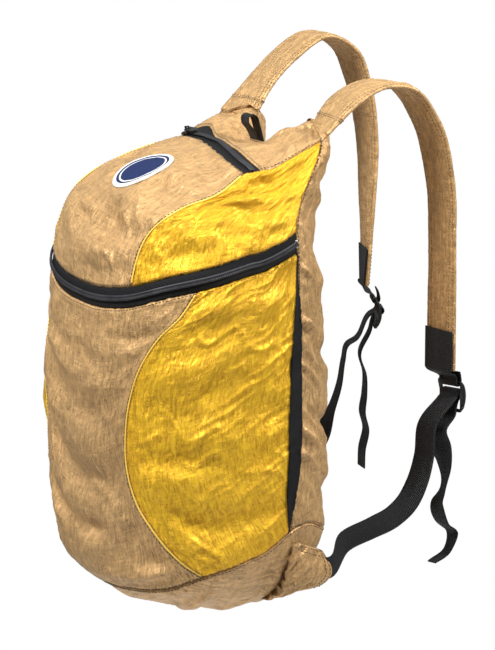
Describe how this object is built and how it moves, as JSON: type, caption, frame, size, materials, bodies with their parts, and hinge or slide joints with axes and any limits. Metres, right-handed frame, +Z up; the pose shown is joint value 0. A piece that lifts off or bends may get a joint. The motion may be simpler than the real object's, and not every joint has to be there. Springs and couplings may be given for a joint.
{
  "type": "packable backpack",
  "caption": "Thin nylon daypack with a curved main zip, a short top zip, contrasting side panels, soft shoulder straps and adjustable lower webbing.",
  "frame": {"origin": "midway between the undersides of the two shoulder straps at their highest stretch, where a wearer's shoulders carry the bag", "axes": "+Z up, -Y out of the bag's front, +Y towards the wearer and the straps, +X towards the wearer's right"},
  "size_m": [0.2699, 0.3515, 0.47],
  "materials": {
    "tan_nylon": "crinkled ripstop-like parachute nylon with a soft sheen",
    "yellow_nylon": "crinkled parachute nylon with a soft sheen",
    "black_webbing": "matt woven webbing and zip tape",
    "zip_coil": "ridged nylon coil",
    "black_plastic": "moulded plastic with a satin surface",
    "navy_patch": "woven patch with a white rim"
  },
  "bodies": {
    "bag": {"front_panel": "tan_nylon", "side_panel_right": "yellow_nylon", "side_panel_left": "yellow_nylon", "back_panel": "tan_nylon", "base_panel": "tan_nylon", "lid_front": "tan_nylon", "lid_side_right": "yellow_nylon", "lid_side_left": "yellow_nylon", "yoke": "tan_nylon", "main_zip_tape": "black_webbing", "main_zip_teeth": "zip_coil", "main_zip_slider": "black_plastic", "top_zip_tape": "black_webbing", "top_zip_teeth": "zip_coil", "top_zip_slider": "black_plastic", "round_patch": "navy_patch", "side_tape": "black_webbing", "corner_tab_right": "tan_nylon", "corner_tab_left": "tan_nylon", "shoulder_strap_right": "tan_nylon", "shoulder_strap_left": "tan_nylon", "strap_end_right": "black_webbing", "strap_end_left": "black_webbing", "ladder_lock_right": "black_plastic", "ladder_lock_left": "black_plastic", "lower_webbing_right": "black_webbing", "lower_webbing_left": "black_webbing", "haul_loop": "black_webbing"},
    "pull": {"top_zip_pull": "black_plastic"}
  },
  "joints": [
    {"name": "pull_swing", "type": "hinge", "parent": "bag", "child": "pull", "pos_m": [-0.06327, -0.12877, -0.05549], "axis": [-0.1025, -0.9402, -0.3249], "range_deg": [0, 150]}
  ]
}
